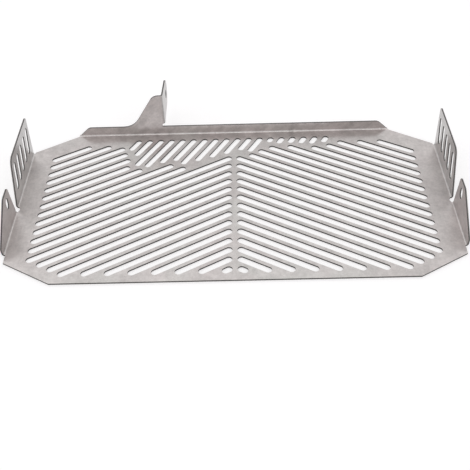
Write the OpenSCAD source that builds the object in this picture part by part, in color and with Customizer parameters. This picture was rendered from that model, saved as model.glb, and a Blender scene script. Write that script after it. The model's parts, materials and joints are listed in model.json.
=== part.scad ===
// Radiator guard for a motorcycle: one laser-cut sheet, folded up along both
// sides and along the back. Millimetres. The flat grille lies on Z = 0, its
// front edge faces -Y and the folded edges stand up towards +Z.

/* [Sheet] */
// Thickness of the stainless sheet
sheet_t = 1.5; // [1:0.1:2.5]
// Inside radius of every fold
bend_r = 1.5; // [0.6:0.1:2]

/* [Outline] */
// Width over the outer faces of the side wings
guard_w = 405.8; // [380:1:430]
// Depth from the front edge to the outer face of the back flange
guard_d = 206.8; // [200:1:230]
// Length of the straight front edge
front_edge = 312.8; // [290:1:340]
// How far back the cut front corners reach
front_corner = 25.1; // [15:0.5:40]
// Length of the back flange at its foot
back_fold = 313.4; // [290:1:340]
// How much further the sheet reaches at each end where the back fold begins
fold_flare = 3.1; // [1:0.1:5]
// How far forward the cut rear corners reach
back_corner = 27.7; // [18:0.5:40]

/* [Grille slots] */
// Width of a slot
slot_w = 6.6; // [4:0.1:8]
// Width of the strip between two slots
slot_web = 3.4; // [2.5:0.1:6]
// Slope of the slots, down from the spine towards the front
slot_angle = 30; // [20:1:38]
// Width of the spine between the left and right slots
spine_w = 4.2; // [2.5:0.1:8]
// Offset of the spine, and of all slots, to the right of the middle
spine_x = 0.5; // [-2:0.1:2]
// From the front edge to where the first pair of slots would meet
first_slot = 15.3; // [12:0.1:30]
// Plain rim in front of the slots
front_rim = 7.4; // [5:0.1:20]
// Plain rim beside the left side wings
left_rim = 20.4; // [8:0.1:40]
// Plain rim beside the right side wings
right_rim = 22; // [8:0.1:40]
// Plain rim along the cut corners
corner_rim = 10.5; // [6:0.1:25]
// Plain rim in front of the back fold
back_rim = 17.8; // [10:0.1:30]

/* [Slanted bars] */
// Width of the bars in the band along the back fold
bar_w = 6; // [3:0.1:7]
// Distance between bars along the back fold
bar_pitch = 11.2; // [10:0.1:16]
// Left of the centre line, the top of the first bar
bar_start = 97; // [80:1:100]
// Lean of the bars away from straight back
bar_lean = 30; // [0:1:35]
// Plain rim between the bars and the back fold
bar_rim = 10; // [8:0.5:14]

/* [Rear wings] */
// Lean of all side wings towards the middle
wing_lean = 2; // [0:0.1:4]
// Height of the rear wings above the underside of the grille
wing_h = 47; // [40:0.5:60]
// Length of a rear wing along its fold
wing_l = 79.9; // [70:0.5:90]
// Setback of the wing's rear end from the cut rear corner
wing_setback = 2; // [1:0.1:6]
// How far the front edge of the wing leans back over its height
wing_rake = 13; // [0:0.5:20]
// How far the rear edge of the wing leans forward over its height
wing_rear_rake = 1; // [0:0.5:10]
// Corner radius at the wing's front top
wing_front_r = 8; // [3:0.5:14]
// Corner radius at the wing's rear top
wing_rear_r = 3; // [1:0.5:8]
// Number of slots in a rear wing
wing_slots = 5; // [3:1:5]
// Distance between wing slots
wing_slot_pitch = 13.1; // [11:0.1:15]
// Height of a wing slot from end to end
wing_slot_h = 27; // [15:0.5:30]
// Lower end of a wing slot above the underside
wing_slot_z = 12; // [9:0.5:16]
// Width of a wing slot
wing_slot_w = 6.6; // [4:0.1:7.5]
// Lean of the wing slots towards the back
wing_slot_lean = 10; // [0:1:14]
// From the rear end of the fold to the foot of the rearmost wing slot
wing_slot_end = 12.4; // [10:0.5:16]

/* [Front wings] */
// Height of the front wings above the underside of the grille
ear_h = 36.8; // [30:0.5:45]
// Length of a front wing along its fold
ear_l = 55.5; // [48:0.5:58]
// How far the wing's sloping front edge reaches back
ear_slope = 33; // [20:0.5:36]
// How far the rear edge of the wing leans forward
ear_rake = 7.2; // [0:0.5:12]
// Height of the wing's foot above the underside, up to its sloping edge
ear_foot_h = 8.5; // [6:0.5:12]
// How far the foot leans forward
ear_foot_lean = 1; // [0:0.5:2]
// Corner radius at the top of the foot
ear_foot_r = 2; // [1:0.5:3]
// Corner radius at the wing's top front corner
ear_front_r = 6; // [2:0.5:10]
// Corner radius at the wing's rear top
ear_rear_r = 2.5; // [1:0.5:4]
// Width of the slotted hole
ear_hole_w = 6.5; // [5:0.1:8]
// Height of the slotted hole from end to end
ear_hole_h = 11.3; // [8.5:0.1:14]
// Centre of the slotted hole above the underside
ear_hole_z = 25.7; // [22:0.1:29]
// Centre of the slotted hole in front of the wing's rear foot
ear_hole_y = 15.5; // [14:0.1:20]
// Diameter of the relief hole between the front and rear wings
relief_d = 6.9; // [4:0.1:8]

/* [Back flange] */
// Height of the back flange above the underside of the grille
flange_h = 11.1; // [8:0.1:16]
// Slope length of the flange's cut ends
flange_cut = 8.6; // [4:0.1:9]
// Corner radius at the top of the flange's ends
flange_r = 7; // [1:0.5:9]

/* [Lug] */
// Height of the lug above the underside of the grille
lug_h = 47.8; // [42:0.1:55]
// Left of the centre line, the outer face of the lug's folded tab
lug_x = 69.2; // [50:0.5:90]
// Width of the lug at its top, up to the tab
lug_top_w = 6.9; // [6:0.5:20]
// Slope of the lug's long edge
lug_angle = 58; // [50:1:62]
// Fillet between the lug and the flange
lug_fillet = 18; // [6:0.5:24]
// Corner radius at the lug's top
lug_r = 9; // [4:0.5:10]
// Gap between the tab's lower edge and the flange
tab_gap = 3.3; // [2:0.1:6]
// From the flange's inner face to the centre of the tab's hole
tab_reach = 31.5; // [28:0.5:45]
// Height of the tab's hole above the underside
tab_hole_z = 29.5; // [26:0.1:34]
// Diameter of the tab's hole
tab_hole_d = 8.5; // [6:0.1:10]
// Radius of the tab's round end
tab_r = 14; // [9:0.5:15]

/* [Hidden] */

steel = [0.74, 0.72, 0.70];
// Facets of a full circle
round_fn = 24;
bend_fn = 48;
// Turn per facet of an outline's rounded corner, in degrees
corner_step = 12;
// Overlap that makes a cut run clean through
cut = 1;

// The folds: the flat grille ends where each fold begins
fold = bend_r + sheet_t;
flat_x = guard_w / 2 - fold;
front_y = -guard_d / 2;
back_y = guard_d / 2;
flat_y = back_y - fold;
wing_x = guard_w / 2 - sheet_t;
flange_y = back_y - sheet_t;

// Corners of the flat grille, right half
front_x = front_edge / 2;
flange_x = back_fold / 2;
back_x = flange_x + fold_flare;
corner_front_y = front_y + front_corner;
corner_back_y = back_y - back_corner;
front_corner_angle = atan2(front_corner, flat_x - front_x);
back_corner_angle = atan2(flat_y - corner_back_y, flat_x - back_x);

// Wings along the side folds
wing_rear_y = corner_back_y - wing_setback;
wing_front_y = wing_rear_y - wing_l;
ear_rear_y = wing_front_y - relief_d;
ear_front_y = ear_rear_y - ear_l;

// Lines that the centres of the slots' round ends stay inside
slot_r = slot_w / 2;
slot_pitch = (slot_w + slot_web) / cos(slot_angle);
slot_first_y = front_y + first_slot;
spine_end = spine_w / 2 + slot_r;
left_end = wing_x - left_rim - slot_r + spine_x;
right_end = wing_x - right_rim - slot_r - spine_x;
front_end = front_y + front_rim + slot_r;
back_end = flange_y - back_rim - slot_r;
slot_count = ceil((back_end - slot_first_y + max(left_end, right_end) * tan(slot_angle)) / slot_pitch);

// Band along the back fold that the grille slots leave free for the bars: how
// far each corner lies right of the spine and in front of the back fold
band = [
    [-116, 17], [-106, 43], [-105.3, 56], [-90, 59.5], [-63, 53],
    [-49, 58], [0, 40], [17, 39.5], [35, 27.5], [57, 26.6], [82, 28.9],
    [98, 25.5], [108, 17]
];
band_pts = [for (p = band) [p[0], flange_y - p[1]]];
bar_top_y = flange_y - bar_rim - bar_w / 2;
bar_clearance = slot_r + slot_web + bar_w / 2;

function unit(v) = v / norm(v);

// Points of an outline whose corners carry radii: each corner is [x, y, r]
function corner_arc(a, b, c) =
    let (
        u = unit([a[0] - b[0], a[1] - b[1]]),
        v = unit([c[0] - b[0], c[1] - b[1]]),
        half = acos(u * v) / 2,
        r = b[2],
        centre = [b[0], b[1]] + unit(u + v) * r / sin(half),
        p = [b[0], b[1]] + u * r / tan(half) - centre,
        q = [b[0], b[1]] + v * r / tan(half) - centre,
        turn = p[0] * q[1] - p[1] * q[0] > 0 ? 1 : -1,
        sweep = 180 - 2 * half,
        start = atan2(p[1], p[0]),
        n = max(2, ceil(sweep / corner_step))
    )
    [for (i = [0:n]) centre + r * [cos(start + turn * sweep * i / n), sin(start + turn * sweep * i / n)]];

function outline(c) =
    let (n = len(c))
    [for (i = [0:n - 1]) each (c[i][2] > 0
        ? corner_arc(c[(i + n - 1) % n], c[i], c[(i + 1) % n])
        : [[c[i][0], c[i][1]]])];

// How far from point p, along the direction d, each edge of the band lies,
// less what keeps a clear distance c from it
function band_hits(p, d, c) =
    [for (i = [0:len(band_pts) - 2])
        let (
            a = band_pts[i],
            e = band_pts[i + 1] - a,
            slant = cross(d, e),
            t = cross(a - p, e) / slant,
            f = cross(a - p, d) / slant
        )
        if (t > 0 && f >= 0 && f <= 1) t - c * norm(e) / abs(slant)];

// Distance from the spine's middle at which the centre line of slot k crosses
// the rim line through p with the direction angle a
function rim_hit(k, p, a) =
    (slot_first_y + k * slot_pitch - p[1] + p[0] * tan(a)) / (tan(slot_angle) + tan(a));

// Point of slot k at a distance t from the spine's middle, on side s
function slot_point(k, s, t) = [s * t, slot_first_y + k * slot_pitch - t * tan(slot_angle)];

function slot_outer(k, s) =
    let (
        side_end = s < 0 ? left_end : right_end,
        rim = corner_rim + slot_r,
        edge_x = flat_x - s * spine_x,
        front_p = [edge_x - rim * sin(front_corner_angle), corner_front_y + rim * cos(front_corner_angle)],
        back_p = [edge_x - rim * sin(back_corner_angle), corner_back_y - rim * cos(back_corner_angle)],
        past_corner = slot_point(k, 1, side_end)[1] > back_p[1] + (back_p[0] - side_end) * tan(back_corner_angle)
    )
    past_corner
        ? 0
        : min(side_end, rim_hit(k, [0, front_end], 0), rim_hit(k, front_p, front_corner_angle));

function slot_inner(k, s, outer) =
    let (hits = band_hits(slot_point(k, s, outer), [-s * cos(slot_angle), sin(slot_angle)], 0))
    max(
        spine_end,
        rim_hit(k, [0, back_end], 0),
        len(hits) > 0 ? outer - min(hits) * cos(slot_angle) : 0
    );

// Half a disc left of the origin
module round_end(w) {
    difference() {
        circle(d = w, $fn = round_fn);
        translate([0, -w]) square([w, 2 * w]);
    }
}

// A slot with round ends between two points
module slot(a, b, w) {
    d = b - a;
    translate(a) rotate(atan2(d[1], d[0])) {
        round_end(w);
        translate([0, -w / 2]) square([norm(d), w]);
        translate([norm(d), 0]) mirror([1, 0]) round_end(w);
    }
}

module grille_slots() {
    for (s = [-1, 1], k = [0:slot_count]) {
        outer = slot_outer(k, s);
        inner = slot_inner(k, s, outer);
        if (outer - inner > 1)
            slot(slot_point(k, s, inner), slot_point(k, s, outer), slot_w);
    }
}

// Slanted bars that shrink along the rising lower edge of the band
module slanted_bars() {
    down = [-sin(bar_lean), -cos(bar_lean)];
    for (x = [-bar_start:bar_pitch:bar_start]) {
        top = [x, bar_top_y];
        hits = band_hits(top, down, bar_clearance);
        length = len(hits) > 0 ? min(hits) : -1;
        if (length >= 0)
            slot(top + length * down, top, bar_w);
    }
}

// Round reliefs that keep the folds between the wings from tearing
module reliefs() {
    for (s = [-1, 1])
        translate([s * (wing_x + sheet_t / 2), (wing_front_y + ear_rear_y) / 2])
            circle(d = relief_d, $fn = bend_fn);
}

module grille() {
    right = [
        [front_x, front_y], [flat_x, corner_front_y],
        [flat_x, corner_back_y], [back_x, flat_y]
    ];
    left = [for (i = [3:-1:0]) [-right[i][0], right[i][1]]];
    linear_extrude(sheet_t)
        difference() {
            polygon(concat(right, left));
            translate([spine_x, 0]) {
                grille_slots();
                slanted_bars();
            }
            reliefs();
        }
}

// Sheet curved about the Z axis through a right angle, from in front to the right
module curved_sheet(height) {
    rotate(-90) rotate_extrude(angle = 90, $fn = bend_fn)
        translate([bend_r, 0]) square([sheet_t, height]);
}

// A fold along +Y, from the flat sheet at x = 0 up to a wall
module bend(length) {
    translate([0, length, fold]) rotate([90, 0, 0]) curved_sheet(length);
}

// Stands a wing on the right side fold: its outline, drawn in (Y, Z) down to
// z = 0, is kept where a wall of the sheet's thickness leans inwards
module side_sheet(height) {
    shift = (height - fold) * tan(wing_lean);
    intersection() {
        translate([0, guard_d, 0]) rotate([90, 0, 0]) linear_extrude(2 * guard_d)
            polygon([
                [wing_x, fold], [wing_x + sheet_t, fold],
                [wing_x + sheet_t - shift, height], [wing_x - shift, height]
            ]);
        translate([wing_x - shift - cut, 0, 0]) rotate([90, 0, 90])
            linear_extrude(shift + sheet_t + 2 * cut) children();
    }
}

module rear_wing() {
    side_sheet(wing_h)
        difference() {
            polygon(outline([
                [wing_front_y, 0, 0],
                [wing_front_y, fold, 0],
                [wing_front_y + wing_rake, wing_h, wing_front_r],
                [wing_rear_y - wing_rear_rake, wing_h, wing_rear_r],
                [wing_rear_y, fold, 0],
                [wing_rear_y, 0, 0]
            ]));
            for (i = [0:wing_slots - 1]) {
                rise = wing_slot_h - wing_slot_w;
                foot = [
                    wing_rear_y - wing_slot_end - i * wing_slot_pitch,
                    wing_slot_z + wing_slot_w / 2
                ];
                slot(foot, foot + rise * [tan(wing_slot_lean), 1], wing_slot_w);
            }
        }
    translate([flat_x, wing_front_y, 0]) bend(wing_l);
}

module front_wing() {
    side_sheet(ear_h)
        difference() {
            polygon(outline([
                [ear_front_y, 0, 0],
                [ear_front_y, fold, 0],
                [ear_front_y - ear_foot_lean, ear_foot_h, ear_foot_r],
                [ear_front_y + ear_slope, ear_h, ear_front_r],
                [ear_rear_y - ear_rake, ear_h, ear_rear_r],
                [ear_rear_y, fold, 0],
                [ear_rear_y, 0, 0]
            ]));
            centre = [ear_rear_y - ear_hole_y, ear_hole_z];
            reach = [0, (ear_hole_h - ear_hole_w) / 2];
            slot(centre - reach, centre + reach, ear_hole_w);
        }
    translate([flat_x, ear_front_y, 0]) bend(ear_l);
}

// Left end of the lug's folded tab, and the lug's flat outline in (X, Z)
lug_flat_x = -lug_x - fold;
lug_base_x = lug_flat_x - lug_top_w - (lug_h - flange_h) / tan(lug_angle);

module back_sheet() {
    translate([0, back_y, 0]) rotate([90, 0, 0]) linear_extrude(sheet_t) children();
}

module back_flange() {
    back_sheet()
        polygon(outline([
            [flange_x, fold, 0],
            [flange_x - flange_cut, flange_h, flange_r],
            [lug_flat_x, flange_h, 0],
            [lug_flat_x, lug_h, 0],
            [lug_flat_x - lug_top_w, lug_h, lug_r],
            [lug_base_x, flange_h, lug_fillet],
            [-flange_x + flange_cut, flange_h, flange_r],
            [-flange_x, fold, 0]
        ]));
    // The fold, with ends that run on from the cut corners to the flange
    intersection() {
        translate([back_x, flat_y, 0]) rotate([0, 0, 90]) bend(2 * back_x);
        translate([0, 0, -cut]) linear_extrude(fold + 2 * cut)
            polygon([[-back_x, flat_y], [back_x, flat_y], [flange_x, back_y], [-flange_x, back_y]]);
    }
}

// Tab folded back from the lug's right edge, with a round end about its hole
module tab() {
    low_z = flange_h + tab_gap;
    tab_y = back_y + bend_r;
    hole = [flange_y + tab_reach, tab_hole_z];
    root_top = [tab_y, lug_h];
    root_low = [tab_y, low_z];
    // Points where straight edges from the root touch the round end
    top_v = hole - root_top;
    low_v = hole - root_low;
    top_a = atan2(top_v[1], top_v[0]) + asin(tab_r / norm(top_v));
    low_a = atan2(low_v[1], low_v[0]) - asin(tab_r / norm(low_v));
    translate([-lug_x - sheet_t, 0, 0]) rotate([90, 0, 90]) linear_extrude(sheet_t)
        difference() {
            union() {
                polygon([
                    root_low,
                    hole + tab_r * [cos(low_a - 90), sin(low_a - 90)],
                    hole,
                    hole + tab_r * [cos(top_a + 90), sin(top_a + 90)],
                    root_top
                ]);
                translate(hole) circle(r = tab_r, $fn = bend_fn);
            }
            translate(hole) circle(d = tab_hole_d, $fn = round_fn);
        }
    // The upright fold between lug and tab
    translate([lug_flat_x, tab_y, low_z]) curved_sheet(lug_h - low_z);
}

module radiator_guard() {
    color(steel) {
        grille();
        for (s = [0, 1]) mirror([s, 0, 0]) {
            rear_wing();
            front_wing();
        }
        back_flange();
        tab();
    }
}

radiator_guard();
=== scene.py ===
"""Looks of the radiator guard: satin stainless sheet on a white floor."""

import json
import math

import bpy
from mathutils import Matrix, Vector


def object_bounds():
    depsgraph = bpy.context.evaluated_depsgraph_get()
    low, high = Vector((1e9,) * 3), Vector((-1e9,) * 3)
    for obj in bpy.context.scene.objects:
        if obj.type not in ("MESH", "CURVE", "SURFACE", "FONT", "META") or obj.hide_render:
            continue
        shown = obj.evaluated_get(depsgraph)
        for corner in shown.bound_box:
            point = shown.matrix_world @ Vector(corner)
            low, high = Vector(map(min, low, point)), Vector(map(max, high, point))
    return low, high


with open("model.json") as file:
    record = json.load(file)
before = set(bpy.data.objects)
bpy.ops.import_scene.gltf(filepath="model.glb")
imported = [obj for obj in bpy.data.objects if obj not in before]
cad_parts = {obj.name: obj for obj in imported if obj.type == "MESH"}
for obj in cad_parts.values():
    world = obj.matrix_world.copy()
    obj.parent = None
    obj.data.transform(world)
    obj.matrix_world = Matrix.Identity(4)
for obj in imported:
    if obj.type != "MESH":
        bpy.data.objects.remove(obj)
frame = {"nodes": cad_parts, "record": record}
cad_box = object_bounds()
guard = frame["nodes"]["radiator_guard"]
mounts = {mount["name"]: mount["pos_m"] for mount in frame["record"]["mounts"]}

# The folded sheet in metres, as in the CAD: its thickness, how far a fold reaches, its
# outer faces at the side and at the back, and where the folds to them start
SHEET = 0.0015
FOLD = 0.003
SIDE_X = cad_box[1].x
BACK_Y = -cad_box[0].y
FLAT_X = SIDE_X - FOLD
FLAT_Y = BACK_Y - FOLD

# The wings: their lean, their inner face where it leaves the fold, and the middle of the
# gap between a front and a rear wing
WING_SLOPE = math.tan(math.radians(2))
WING_INSIDE = SIDE_X - SHEET
WING_GAP_Y = -0.0094

# Area of the rear wings that holds their slots. Its front leans back by SLOTS_RAKE
SLOTS_FRONT_Y = -0.0045
SLOTS_RAKE = 0.295
SLOTS_BACK_Y = 0.07
SLOTS_TOP = 0.043

# The front wings' slotted hole: its middle, and how far the area round it reaches
SCREW_Y, SCREW_Z = mounts["left_wing_slot"][1:]
SCREW_REACH_Y = 0.005
SCREW_REACH_Z = 0.0068

# The tab: its outer face, where it leaves its upright fold, and just under that fold
TAB_FACE = mounts["tab_hole"][0] + SHEET / 2
TAB_Y = BACK_Y + FOLD - SHEET
TAB_LOW = 0.0142

# How deep into the sheet the wings' cuts are burnt, fully and with a last trace, and how
# much of the burn is left below that away from the holes
BURN_FULL = 0.0009
BURN_END = 0.0012
BURN_LEFT = 0.5

# A margin that keeps a mask clear of the next face
HAIR = 0.00002

# A face lies along an axis if its normal has less of that axis than LYING, and faces it
# if its normal has more than FACING
LYING = 0.3
FACING = 0.5

# Colours of the sheet; of the rear wings, a copy of the sheet's colour with a painted-light tint; of
# the painted reflection on the wings' cuts; and of the laser-cut edges
WARM_STEEL = (0.668, 0.622, 0.612, 1)
COOL_STEEL = (0.655, 0.636, 0.618, 1)
REAR_WING_PAINTED_TINT = (0.639, 0.622, 0.613, 1)
CUT_PAINTED_REFLECTION = (1, 0.995, 0.99, 1)
BURNT_DARK = (0.035, 0.032, 0.030, 1)
BURNT_LIGHT = (0.085, 0.080, 0.076, 1)

# The grain: steps of the noise in a metre across it and along it
GRAIN_STEPS = (1600.0, 9.0)
WIDE_GRAIN_STEPS = (260.0, 4.0)

# Painted shade and light that change with height on the wings, and on the flange and lug: (height,
# change) where it starts and where it ends. The rear wings are painted lighter than the front ones
WING_PAINTED_SHADE = ((0.015, -0.185), (0.035, -0.25))
REAR_WING_PAINTED_LIGHT = 0.05
FLANGE_PAINTED_SHADING = ((FOLD, -0.065), (0.022, 0.075))

# Towards its ends the grille gets lighter, a painted sheen, and warmer: its tone in the middle, and
# how its painted sheen and its cool areas change with the squared distance from there
MIDDLE_TONE = 0.965
END_PAINTED_SHEEN = 2.3
END_COOL = -17.0

# Smears on the flange and the lug: steps of the noise in a metre of x and of z
SMEAR_ACROSS = (-105.0, 134.0)
SMEAR_ALONG = (32.0, 25.0)

# The floor, just under the sheet, and how much of it glows where it is seen
FLOOR_HALF = 6.0
FLOOR_Z = -0.0004
FLOOR_PAPER = (0.98, 0.98, 0.98, 1)
FLOOR_GLOW = (0.985, 0.965, 0.975, 1)
GLOW_STRENGTH = 1.35
GLOW_SHARE = 0.35

# The surroundings' strength is 1 at the horizon. It falls to SKY_LIGHT for directions
# that rise by SKY_FROM or more
SKY_LIGHT = 0.76
SKY_FROM = 0.45

# The photograph's viewpoint in metres and degrees, and its focal length in pixels
CAMERA_PLACE = (0.0088, -0.5207, 0.4605)
CAMERA_TURN = (-0.99, 44.27, -1.97)
FOCAL_PX = 741.9
PHOTO_PX = 470
SENSOR_MM = 36


class Tree:
    """Shorthand for building the nodes of one material or world."""

    def __init__(self, owner):
        owner.use_nodes = True
        self.owner = owner
        self.tree = owner.node_tree
        self.tree.nodes.clear()

    def add(self, kind, inputs=None, **props):
        """A node with its properties and its inputs, which are numbers, colours or sockets."""
        node = self.tree.nodes.new(kind)
        for key, value in props.items():
            setattr(node, key, value)
        for key, value in (inputs or {}).items():
            if isinstance(value, bpy.types.NodeSocket):
                self.tree.links.new(value, node.inputs[key])
            else:
                node.inputs[key].default_value = value
        return node

    def math(self, operation, *values):
        """The result of a math node."""
        return self.add("ShaderNodeMath", dict(enumerate(values)), operation=operation).outputs[0]

    def xyz(self, *values):
        """A vector from three values."""
        return self.add("ShaderNodeCombineXYZ", dict(enumerate(values))).outputs[0]

    def stretch(self, across, along, steps, layer=0.0):
        """Where a noise is read: two lengths with their steps in a metre, and a layer."""
        return self.xyz(
            self.math("MULTIPLY", across, steps[0]),
            self.math("MULTIPLY", along, steps[1]),
            layer,
        )

    def parts(self, vector):
        """The three values of a vector."""
        return tuple(self.add("ShaderNodeSeparateXYZ", {0: vector}).outputs)

    def size(self, value):
        """The value without its sign."""
        return self.math("ABSOLUTE", value)

    def above(self, value, limit):
        """1 where the value is above the limit, 0 elsewhere."""
        return self.math("GREATER_THAN", value, limit)

    def below(self, value, limit):
        """1 where the value is below the limit, 0 elsewhere."""
        return self.math("LESS_THAN", value, limit)

    def all_of(self, *masks):
        """1 where every mask is 1: their product."""
        result = masks[0]
        for mask in masks[1:]:
            result = self.math("MULTIPLY", result, mask)
        return result

    def any_of(self, *masks):
        """1 where a mask is 1: the largest of them."""
        result = masks[0]
        for mask in masks[1:]:
            result = self.math("MAXIMUM", result, mask)
        return result

    def invert(self, mask):
        """1 where the mask is 0, and 0 where it is 1."""
        return self.math("SUBTRACT", 1.0, mask)

    def weigh(self, start, pairs):
        """The start plus each value times its weight."""
        total = start
        for value, weight in pairs:
            total = self.math("MULTIPLY_ADD", value, weight, total)
        return total

    def ramp(self, value, start, end, **props):
        """Runs between two (value, result) pairs, and stays level beyond them."""
        inputs = {
            "Value": value,
            "From Min": start[0],
            "From Max": end[0],
            "To Min": start[1],
            "To Max": end[1],
        }
        return self.add("ShaderNodeMapRange", inputs, **props).outputs[0]

    def noise(self, vector, scale, detail, roughness):
        """Soft noise from 0 to 1, about 0.5."""
        inputs = {"Vector": vector, "Scale": scale, "Detail": detail, "Roughness": roughness}
        return self.add("ShaderNodeTexNoise", inputs).outputs["Fac"]

    def mix(self, share, a, b, blend="MIX"):
        """A mix of two colours; sockets 0, 6, 7 and 2 are those that the node has for colours."""
        inputs = {0: share, 6: a, 7: b}
        return self.add("ShaderNodeMix", data_type="RGBA", blend_type=blend, inputs=inputs).outputs[2]


class SteelTree(Tree):
    """The steel's nodes, with the places, faces and noises that they share."""

    def __init__(self, material):
        super().__init__(material)
        self.place = self.add("ShaderNodeTexCoord").outputs["Object"]
        self.x, self.y, self.z = self.parts(self.place)
        self.side = self.size(self.x)
        normal = self.add("ShaderNodeNewGeometry").outputs["True Normal"]
        self.face_x, self.face_y, self.face_z = (self.size(n) for n in self.parts(normal))
        self.on_wing = self.above(self.face_x, FACING)
        self.on_flange = self.above(self.face_y, FACING)
        self.on_grille = self.above(self.face_z, FACING)
        self.on_rear_wing = self.all_of(self.on_wing, self.above(self.y, WING_GAP_Y))

        # Squared distance from the middle of the grille
        reach = self.math("MULTIPLY", self.x, self.face_z)
        self.ends = self.math("MULTIPLY", reach, reach)

        # On the unfolded sheet the grain runs from front to back, so it runs along the
        # side wings and climbs the back flange
        across = self.math("ADD", self.side, self.z)
        along = self.math("MULTIPLY_ADD", self.z, self.on_flange, self.y)
        fine = self.stretch(across, along, GRAIN_STEPS)
        wide = self.stretch(across, along, WIDE_GRAIN_STEPS, layer=3.0)
        self.grain = self.noise(fine, 1.0, 4.0, 0.7)
        self.wide_grain = self.noise(wide, 1.0, 3.0, 0.6)
        self.wide_cloud = self.noise(self.place, 13.0, 2.0, 0.5)


def cut_edges(t):
    """Masks of the laser-cut edges: the burnt ones, and where the wings' cuts in the holes get a
    painted reflection.
    """
    folded = t.above(t.z, FOLD + HAIR)

    # The flat grille: faces that look neither up nor down
    grille = t.all_of(
        t.below(t.face_z, LYING),
        t.below(t.side, FLAT_X + HAIR),
        t.below(t.y, FLAT_Y + HAIR),
        t.below(t.z, SHEET + HAIR),
    )

    # The side wings and their folds
    wing = t.all_of(
        t.any_of(t.above(t.face_y, LYING), t.all_of(folded, t.below(t.face_x, LYING))),
        t.any_of(folded, t.above(t.side, FLAT_X)),
        t.above(t.side, FLAT_X - FOLD),
        t.above(t.z, HAIR),
    )

    # The tab and its upright fold
    on_tab = t.any_of(
        t.above(t.y, BACK_Y + HAIR),
        t.all_of(
            t.above(t.x, TAB_FACE - FOLD + HAIR),
            t.below(t.x, TAB_FACE + HAIR),
            t.above(t.z, TAB_LOW),
        ),
    )
    tab = t.all_of(
        on_tab,
        t.any_of(t.above(t.face_z, LYING), t.all_of(t.above(t.y, TAB_Y), t.below(t.face_x, LYING))),
    )

    # The back flange, the lug and their fold
    flange = t.all_of(
        t.any_of(t.above(t.face_x, LYING), t.all_of(folded, t.below(t.face_y, LYING))),
        t.above(t.y, FLAT_Y),
        t.invert(on_tab),
    )

    # In the holes the outer part of the wings' cuts gets a painted reflection, a white mirror as
    # bright as the floor seen through them, and elsewhere it is half burnt
    holes = t.any_of(
        t.all_of(
            t.above(t.y, t.math("MULTIPLY_ADD", t.z, SLOTS_RAKE, SLOTS_FRONT_Y)),
            t.below(t.y, SLOTS_BACK_Y),
            t.below(t.z, SLOTS_TOP),
        ),
        t.all_of(
            t.below(t.size(t.math("SUBTRACT", t.y, SCREW_Y)), SCREW_REACH_Y),
            t.below(t.z, SCREW_Z + SCREW_REACH_Z),
        ),
    )
    from_inside = t.math("SUBTRACT", t.side, WING_INSIDE + FOLD * WING_SLOPE)
    depth = t.math("MULTIPLY_ADD", t.z, WING_SLOPE, from_inside)
    burn = t.ramp(depth, (BURN_FULL, 1.0), (BURN_END, 0.0))
    painted_reflection = t.all_of(wing, holes, t.invert(burn))
    burn = t.any_of(burn, t.math("MULTIPLY", t.invert(holes), BURN_LEFT))
    return t.any_of(grille, t.all_of(wing, burn), flange, tab), painted_reflection


def steel_tone(t):
    """How light the steel is, about 1: handling marks, clouds, grain, and slow changes that are
    painted shade, painted light and a painted sheen.
    """
    cloud = t.noise(t.place, 55.0, 4.0, 0.6)
    blotch = t.noise(t.place, 150.0, 3.0, 0.6)
    speckle = t.noise(t.place, 420.0, 3.0, 0.65)
    marks = (
        (cloud, 0.36),
        (t.wide_cloud, 0.2),
        (speckle, 0.4),
        (blotch, 0.34),
        (t.wide_grain, 0.08),
        (t.grain, 0.10),
    )
    tone = t.weigh(1.0 - sum(weight for noise, weight in marks) / 2, marks)

    # Painted shade: the wings are darker than the grille and get darker with height, the rear wings a
    # little less
    painted_shading = t.ramp(t.z, *WING_PAINTED_SHADE)
    painted_shading = t.math("MULTIPLY_ADD", t.on_rear_wing, REAR_WING_PAINTED_LIGHT, painted_shading)
    tone = t.math("MULTIPLY", tone, t.math("MULTIPLY_ADD", t.on_wing, painted_shading, 1.0))

    # Painted shade at the fold of the flange and the lug, and painted light as they get lighter above
    # it, with faint smears that slant up
    painted_shading = t.ramp(t.z, *FLANGE_PAINTED_SHADING)
    tone = t.math("MULTIPLY", tone, t.math("MULTIPLY_ADD", t.on_flange, painted_shading, 1.0))
    across, along = (t.weigh(0.0, zip((t.x, t.z), steps)) for steps in (SMEAR_ACROSS, SMEAR_ALONG))
    smear = t.math("SUBTRACT", t.noise(t.xyz(across, along, 0.0), 1.0, 3.0, 0.6), 0.5)
    tone = t.math("MULTIPLY_ADD", t.math("MULTIPLY", smear, t.on_flange), 0.5, tone)

    # Painted sheen: the grille gets lighter towards its ends
    return t.math("MULTIPLY", tone, t.math("MULTIPLY_ADD", t.ends, END_PAINTED_SHEEN, MIDDLE_TONE))


def steel_colour(t, burnt, painted_reflection):
    """The sheet's colour, with its warm and cool areas, its painted shading, its laser-cut edges and
    a painted reflection on the wings' cuts.
    """
    cool = t.ramp(t.noise(t.place, 24.0, 2.0, 0.5), (0.35, 0.0), (0.65, 1.0))
    cool = t.all_of(cool, t.on_grille, t.math("MULTIPLY_ADD", t.ends, END_COOL, 1.0))
    # The rear wings take their painted-light tint
    steel = t.mix(t.on_rear_wing, t.mix(cool, WARM_STEEL, COOL_STEEL), REAR_WING_PAINTED_TINT)
    tone = steel_tone(t)
    steel = t.mix(1.0, steel, t.xyz(tone, tone, tone), "MULTIPLY")
    edge = t.mix(t.noise(t.place, 900.0, 2.0, 0.6), BURNT_DARK, BURNT_LIGHT)
    # Painted reflection on the outer part of the wings' cuts, under the burnt edges
    return t.mix(burnt, t.mix(painted_reflection, steel, CUT_PAINTED_REFLECTION), edge)


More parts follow.
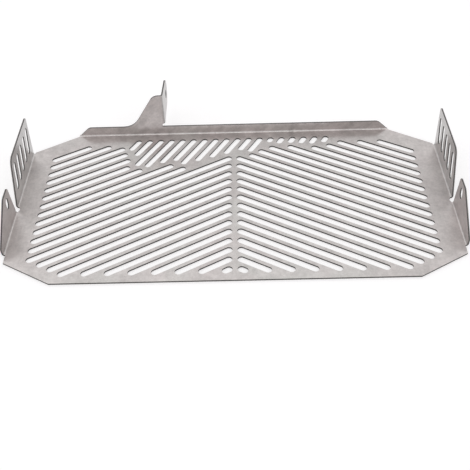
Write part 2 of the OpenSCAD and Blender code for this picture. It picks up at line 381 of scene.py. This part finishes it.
def steel_normal(t):
    """Fine relief of the grain over the slight waves of a folded sheet."""
    relief = {
        "Height": t.math("MULTIPLY_ADD", t.wide_grain, 0.4, t.grain),
        "Strength": 0.12,
        "Distance": 0.0002,
    }
    waves = {
        "Height": t.noise(t.place, 14.0, 1.0, 0.4),
        "Strength": 0.15,
        "Distance": 0.004,
        "Normal": t.add("ShaderNodeBump", relief).outputs[0],
    }
    return t.add("ShaderNodeBump", waves).outputs[0]


def steel_material():
    """Satin stainless sheet with a fine straight grain and dark laser-cut edges."""
    t = SteelTree(bpy.data.materials.new("satin_stainless_sheet"))
    burnt, painted_reflection = cut_edges(t)
    # The painted reflection on the wings' cuts is smoother, and the burnt edges are rougher
    rough = t.weigh(0.22, ((t.grain, 0.10), (t.wide_cloud, 0.08), (painted_reflection, -0.2), (burnt, 0.2)))
    # Reflections spread across the grain: along x, and upwards on the wings
    across_grain = t.xyz(t.invert(t.on_wing), 0.0, t.on_wing)
    shader = t.add(
        "ShaderNodeBsdfPrincipled",
        {
            "Base Color": steel_colour(t, burnt, painted_reflection),
            "Roughness": rough,
            "Metallic": t.invert(burnt),
            "Normal": steel_normal(t),
            "Tangent": across_grain,
            "Anisotropic": 0.75,
        },
    )
    t.add("ShaderNodeOutputMaterial", {"Surface": shader.outputs[0]})
    return t.owner


def floor_material():
    """White to the camera and in reflections, with only a trace of the shadow."""
    t = Tree(bpy.data.materials.new("white_floor"))
    path = t.add("ShaderNodeLightPath").outputs
    seen = t.any_of(path["Is Camera Ray"], path["Is Glossy Ray"], path["Is Transmission Ray"])
    paper = t.add("ShaderNodeBsdfDiffuse", {"Color": FLOOR_PAPER})
    glow = t.add("ShaderNodeEmission", {"Color": FLOOR_GLOW, "Strength": GLOW_STRENGTH})
    share = t.math("MULTIPLY", seen, GLOW_SHARE)
    mixed = t.add("ShaderNodeMixShader", {0: share, 1: paper.outputs[0], 2: glow.outputs[0]})
    t.add("ShaderNodeOutputMaterial", {"Surface": mixed.outputs[0]})
    return t.owner


def show(thing):
    """Puts an object into the scene."""
    bpy.context.scene.collection.objects.link(thing)


def make_floor():
    """One large square that the guard lies on."""
    half = FLOOR_HALF
    corners = [(-half, -half, 0), (half, -half, 0), (half, half, 0), (-half, half, 0)]
    mesh = bpy.data.meshes.new("floor")
    mesh.from_pydata(corners, [], [(0, 1, 2, 3)])
    mesh.materials.append(floor_material())
    floor = bpy.data.objects.new("floor", mesh)
    floor.location.z = FLOOR_Z
    show(floor)


def area_light(name, place, size, watts):
    """A rectangular light that shines at the middle of the guard."""
    light = bpy.data.lights.new(name, "AREA")
    light.shape = "RECTANGLE"
    light.size, light.size_y = size
    light.energy = watts
    lamp = bpy.data.objects.new(name, light)
    lamp.location = place
    lamp.rotation_mode = "QUATERNION"
    lamp.rotation_quaternion = (-Vector(place)).to_track_quat("-Z", "Y")
    show(lamp)


def make_world():
    """Soft white surroundings, whitest near the floor."""
    world = bpy.data.worlds.new("studio")
    t = Tree(world)
    height = t.parts(t.add("ShaderNodeTexCoord").outputs["Generated"])[2]
    fade = t.ramp(height, (0.0, 1.0), (SKY_FROM, SKY_LIGHT), interpolation_type="SMOOTHSTEP")
    sky = t.add("ShaderNodeBackground", {"Color": (1, 1, 1, 1), "Strength": fade})
    t.add("ShaderNodeOutputWorld", {"Surface": sky.outputs[0]})
    bpy.context.scene.world = world


def make_camera():
    """The photograph's viewpoint, worked out from the slots and the side folds."""
    yaw, pitch, roll = (math.radians(angle) for angle in CAMERA_TURN)
    ahead = Vector((math.sin(yaw), math.cos(yaw), 0))
    right = Vector((math.cos(yaw), -math.sin(yaw), 0))
    up = Vector((0, 0, 1))
    look = ahead * math.cos(pitch) - up * math.sin(pitch)
    top = up * math.cos(pitch) + ahead * math.sin(pitch)
    side = right * math.cos(roll) + top * math.sin(roll)
    head = top * math.cos(roll) - right * math.sin(roll)
    data = bpy.data.cameras.new("camera")
    data.sensor_width = SENSOR_MM
    data.lens = FOCAL_PX / PHOTO_PX * SENSOR_MM
    camera = bpy.data.objects.new("camera", data)
    turn = Matrix((side, head, -look)).transposed().to_4x4()
    camera.matrix_world = Matrix.Translation(CAMERA_PLACE) @ turn
    show(camera)
    bpy.context.scene.camera = camera


guard.data.materials.clear()
guard.data.materials.append(steel_material())
make_floor()
make_world()
area_light("back", place=(-0.2, 0.85, 1.45), size=(1.4, 0.9), watts=1.0)
area_light("top", place=(0, -0.1, 1.6), size=(1.2, 0.5), watts=2.4)
make_camera()
bpy.context.scene.view_settings.view_transform = "Standard"
